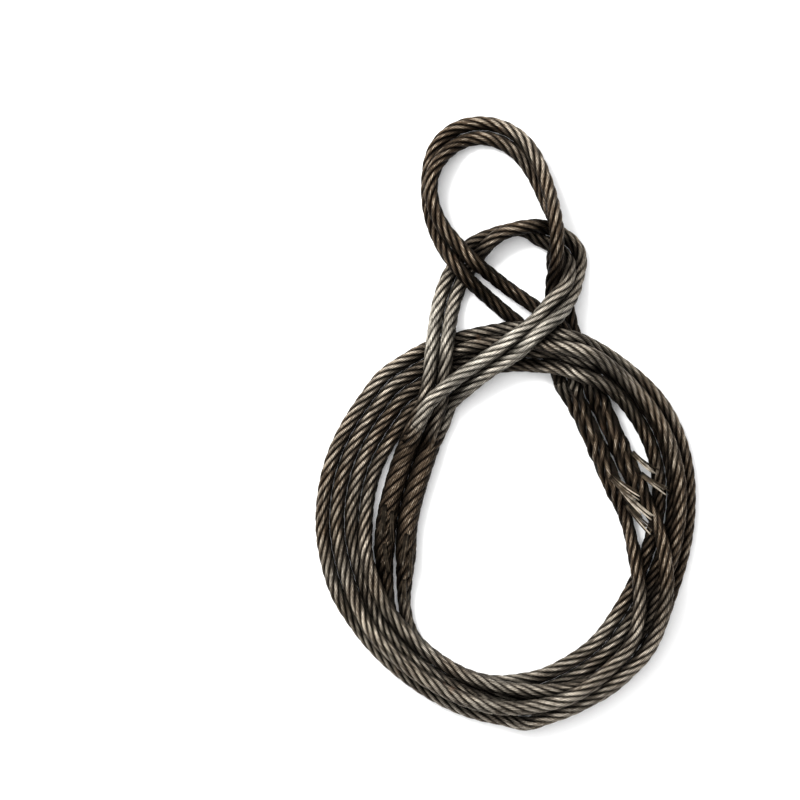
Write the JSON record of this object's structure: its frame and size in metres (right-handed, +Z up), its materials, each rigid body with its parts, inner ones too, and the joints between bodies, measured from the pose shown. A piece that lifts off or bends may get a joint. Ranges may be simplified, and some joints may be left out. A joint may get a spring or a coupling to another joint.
{
  "type": "wire rope sling",
  "caption": "Long hand-spliced wire rope slings with a soft eye at each end, coiled side by side and lying flat with the eyes together at the top.",
  "frame": {"origin": "on the floor under the middle of the whole coil with its eyes", "axes": "+Z up from the floor, +Y from the coil towards the crowns of the upper eyes, +X to the right of somebody who looks down with the eyes at the top"},
  "size_m": [0.3307, 0.5328, 0.0473],
  "materials": {
    "greased_wire_rope": "dark greased steel, worn bright on the wire crowns",
    "cut_strand_steel": "bare cut wire, dull"
  },
  "bodies": {
    "heap": {"sling_1_lower_cut_strand_1": "cut_strand_steel", "sling_1_lower_cut_strand_2": "cut_strand_steel", "sling_1_lower_cut_strand_3": "cut_strand_steel", "sling_1_lower_eye": "greased_wire_rope", "sling_1_lower_splice": "greased_wire_rope", "sling_1_rope_body_1": "greased_wire_rope", "sling_1_rope_body_2": "greased_wire_rope", "sling_1_rope_body_3": "greased_wire_rope", "sling_1_rope_body_4": "greased_wire_rope", "sling_1_upper_cut_strand_1": "cut_strand_steel", "sling_1_upper_cut_strand_2": "cut_strand_steel", "sling_1_upper_eye_left_leg": "greased_wire_rope", "sling_1_upper_eye_right_leg": "greased_wire_rope", "sling_1_upper_splice": "greased_wire_rope", "sling_2_lower_cut_strand_1": "cut_strand_steel", "sling_2_lower_cut_strand_2": "cut_strand_steel", "sling_2_lower_cut_strand_3": "cut_strand_steel", "sling_2_lower_eye": "greased_wire_rope", "sling_2_lower_splice": "greased_wire_rope", "sling_2_rope_body_1": "greased_wire_rope", "sling_2_rope_body_2": "greased_wire_rope", "sling_2_rope_body_3": "greased_wire_rope", "sling_2_rope_body_4": "greased_wire_rope", "sling_2_upper_cut_strand_1": "cut_strand_steel", "sling_2_upper_cut_strand_2": "cut_strand_steel", "sling_2_upper_cut_strand_3": "cut_strand_steel", "sling_2_upper_eye_left_leg": "greased_wire_rope", "sling_2_upper_eye_right_leg": "greased_wire_rope", "sling_2_upper_splice": "greased_wire_rope"},
    "upper_eyes": {"sling_1_upper_eye_bow": "greased_wire_rope", "sling_2_upper_eye_bow": "greased_wire_rope"}
  },
  "joints": [
    {"name": "upper_eye_lift", "type": "hinge", "parent": "heap", "child": "upper_eyes", "pos_m": [0.0185, 0.115, 0.01], "axis": [0.9687, 0.2306, 0.0923], "range_deg": [0, 8]}
  ]
}
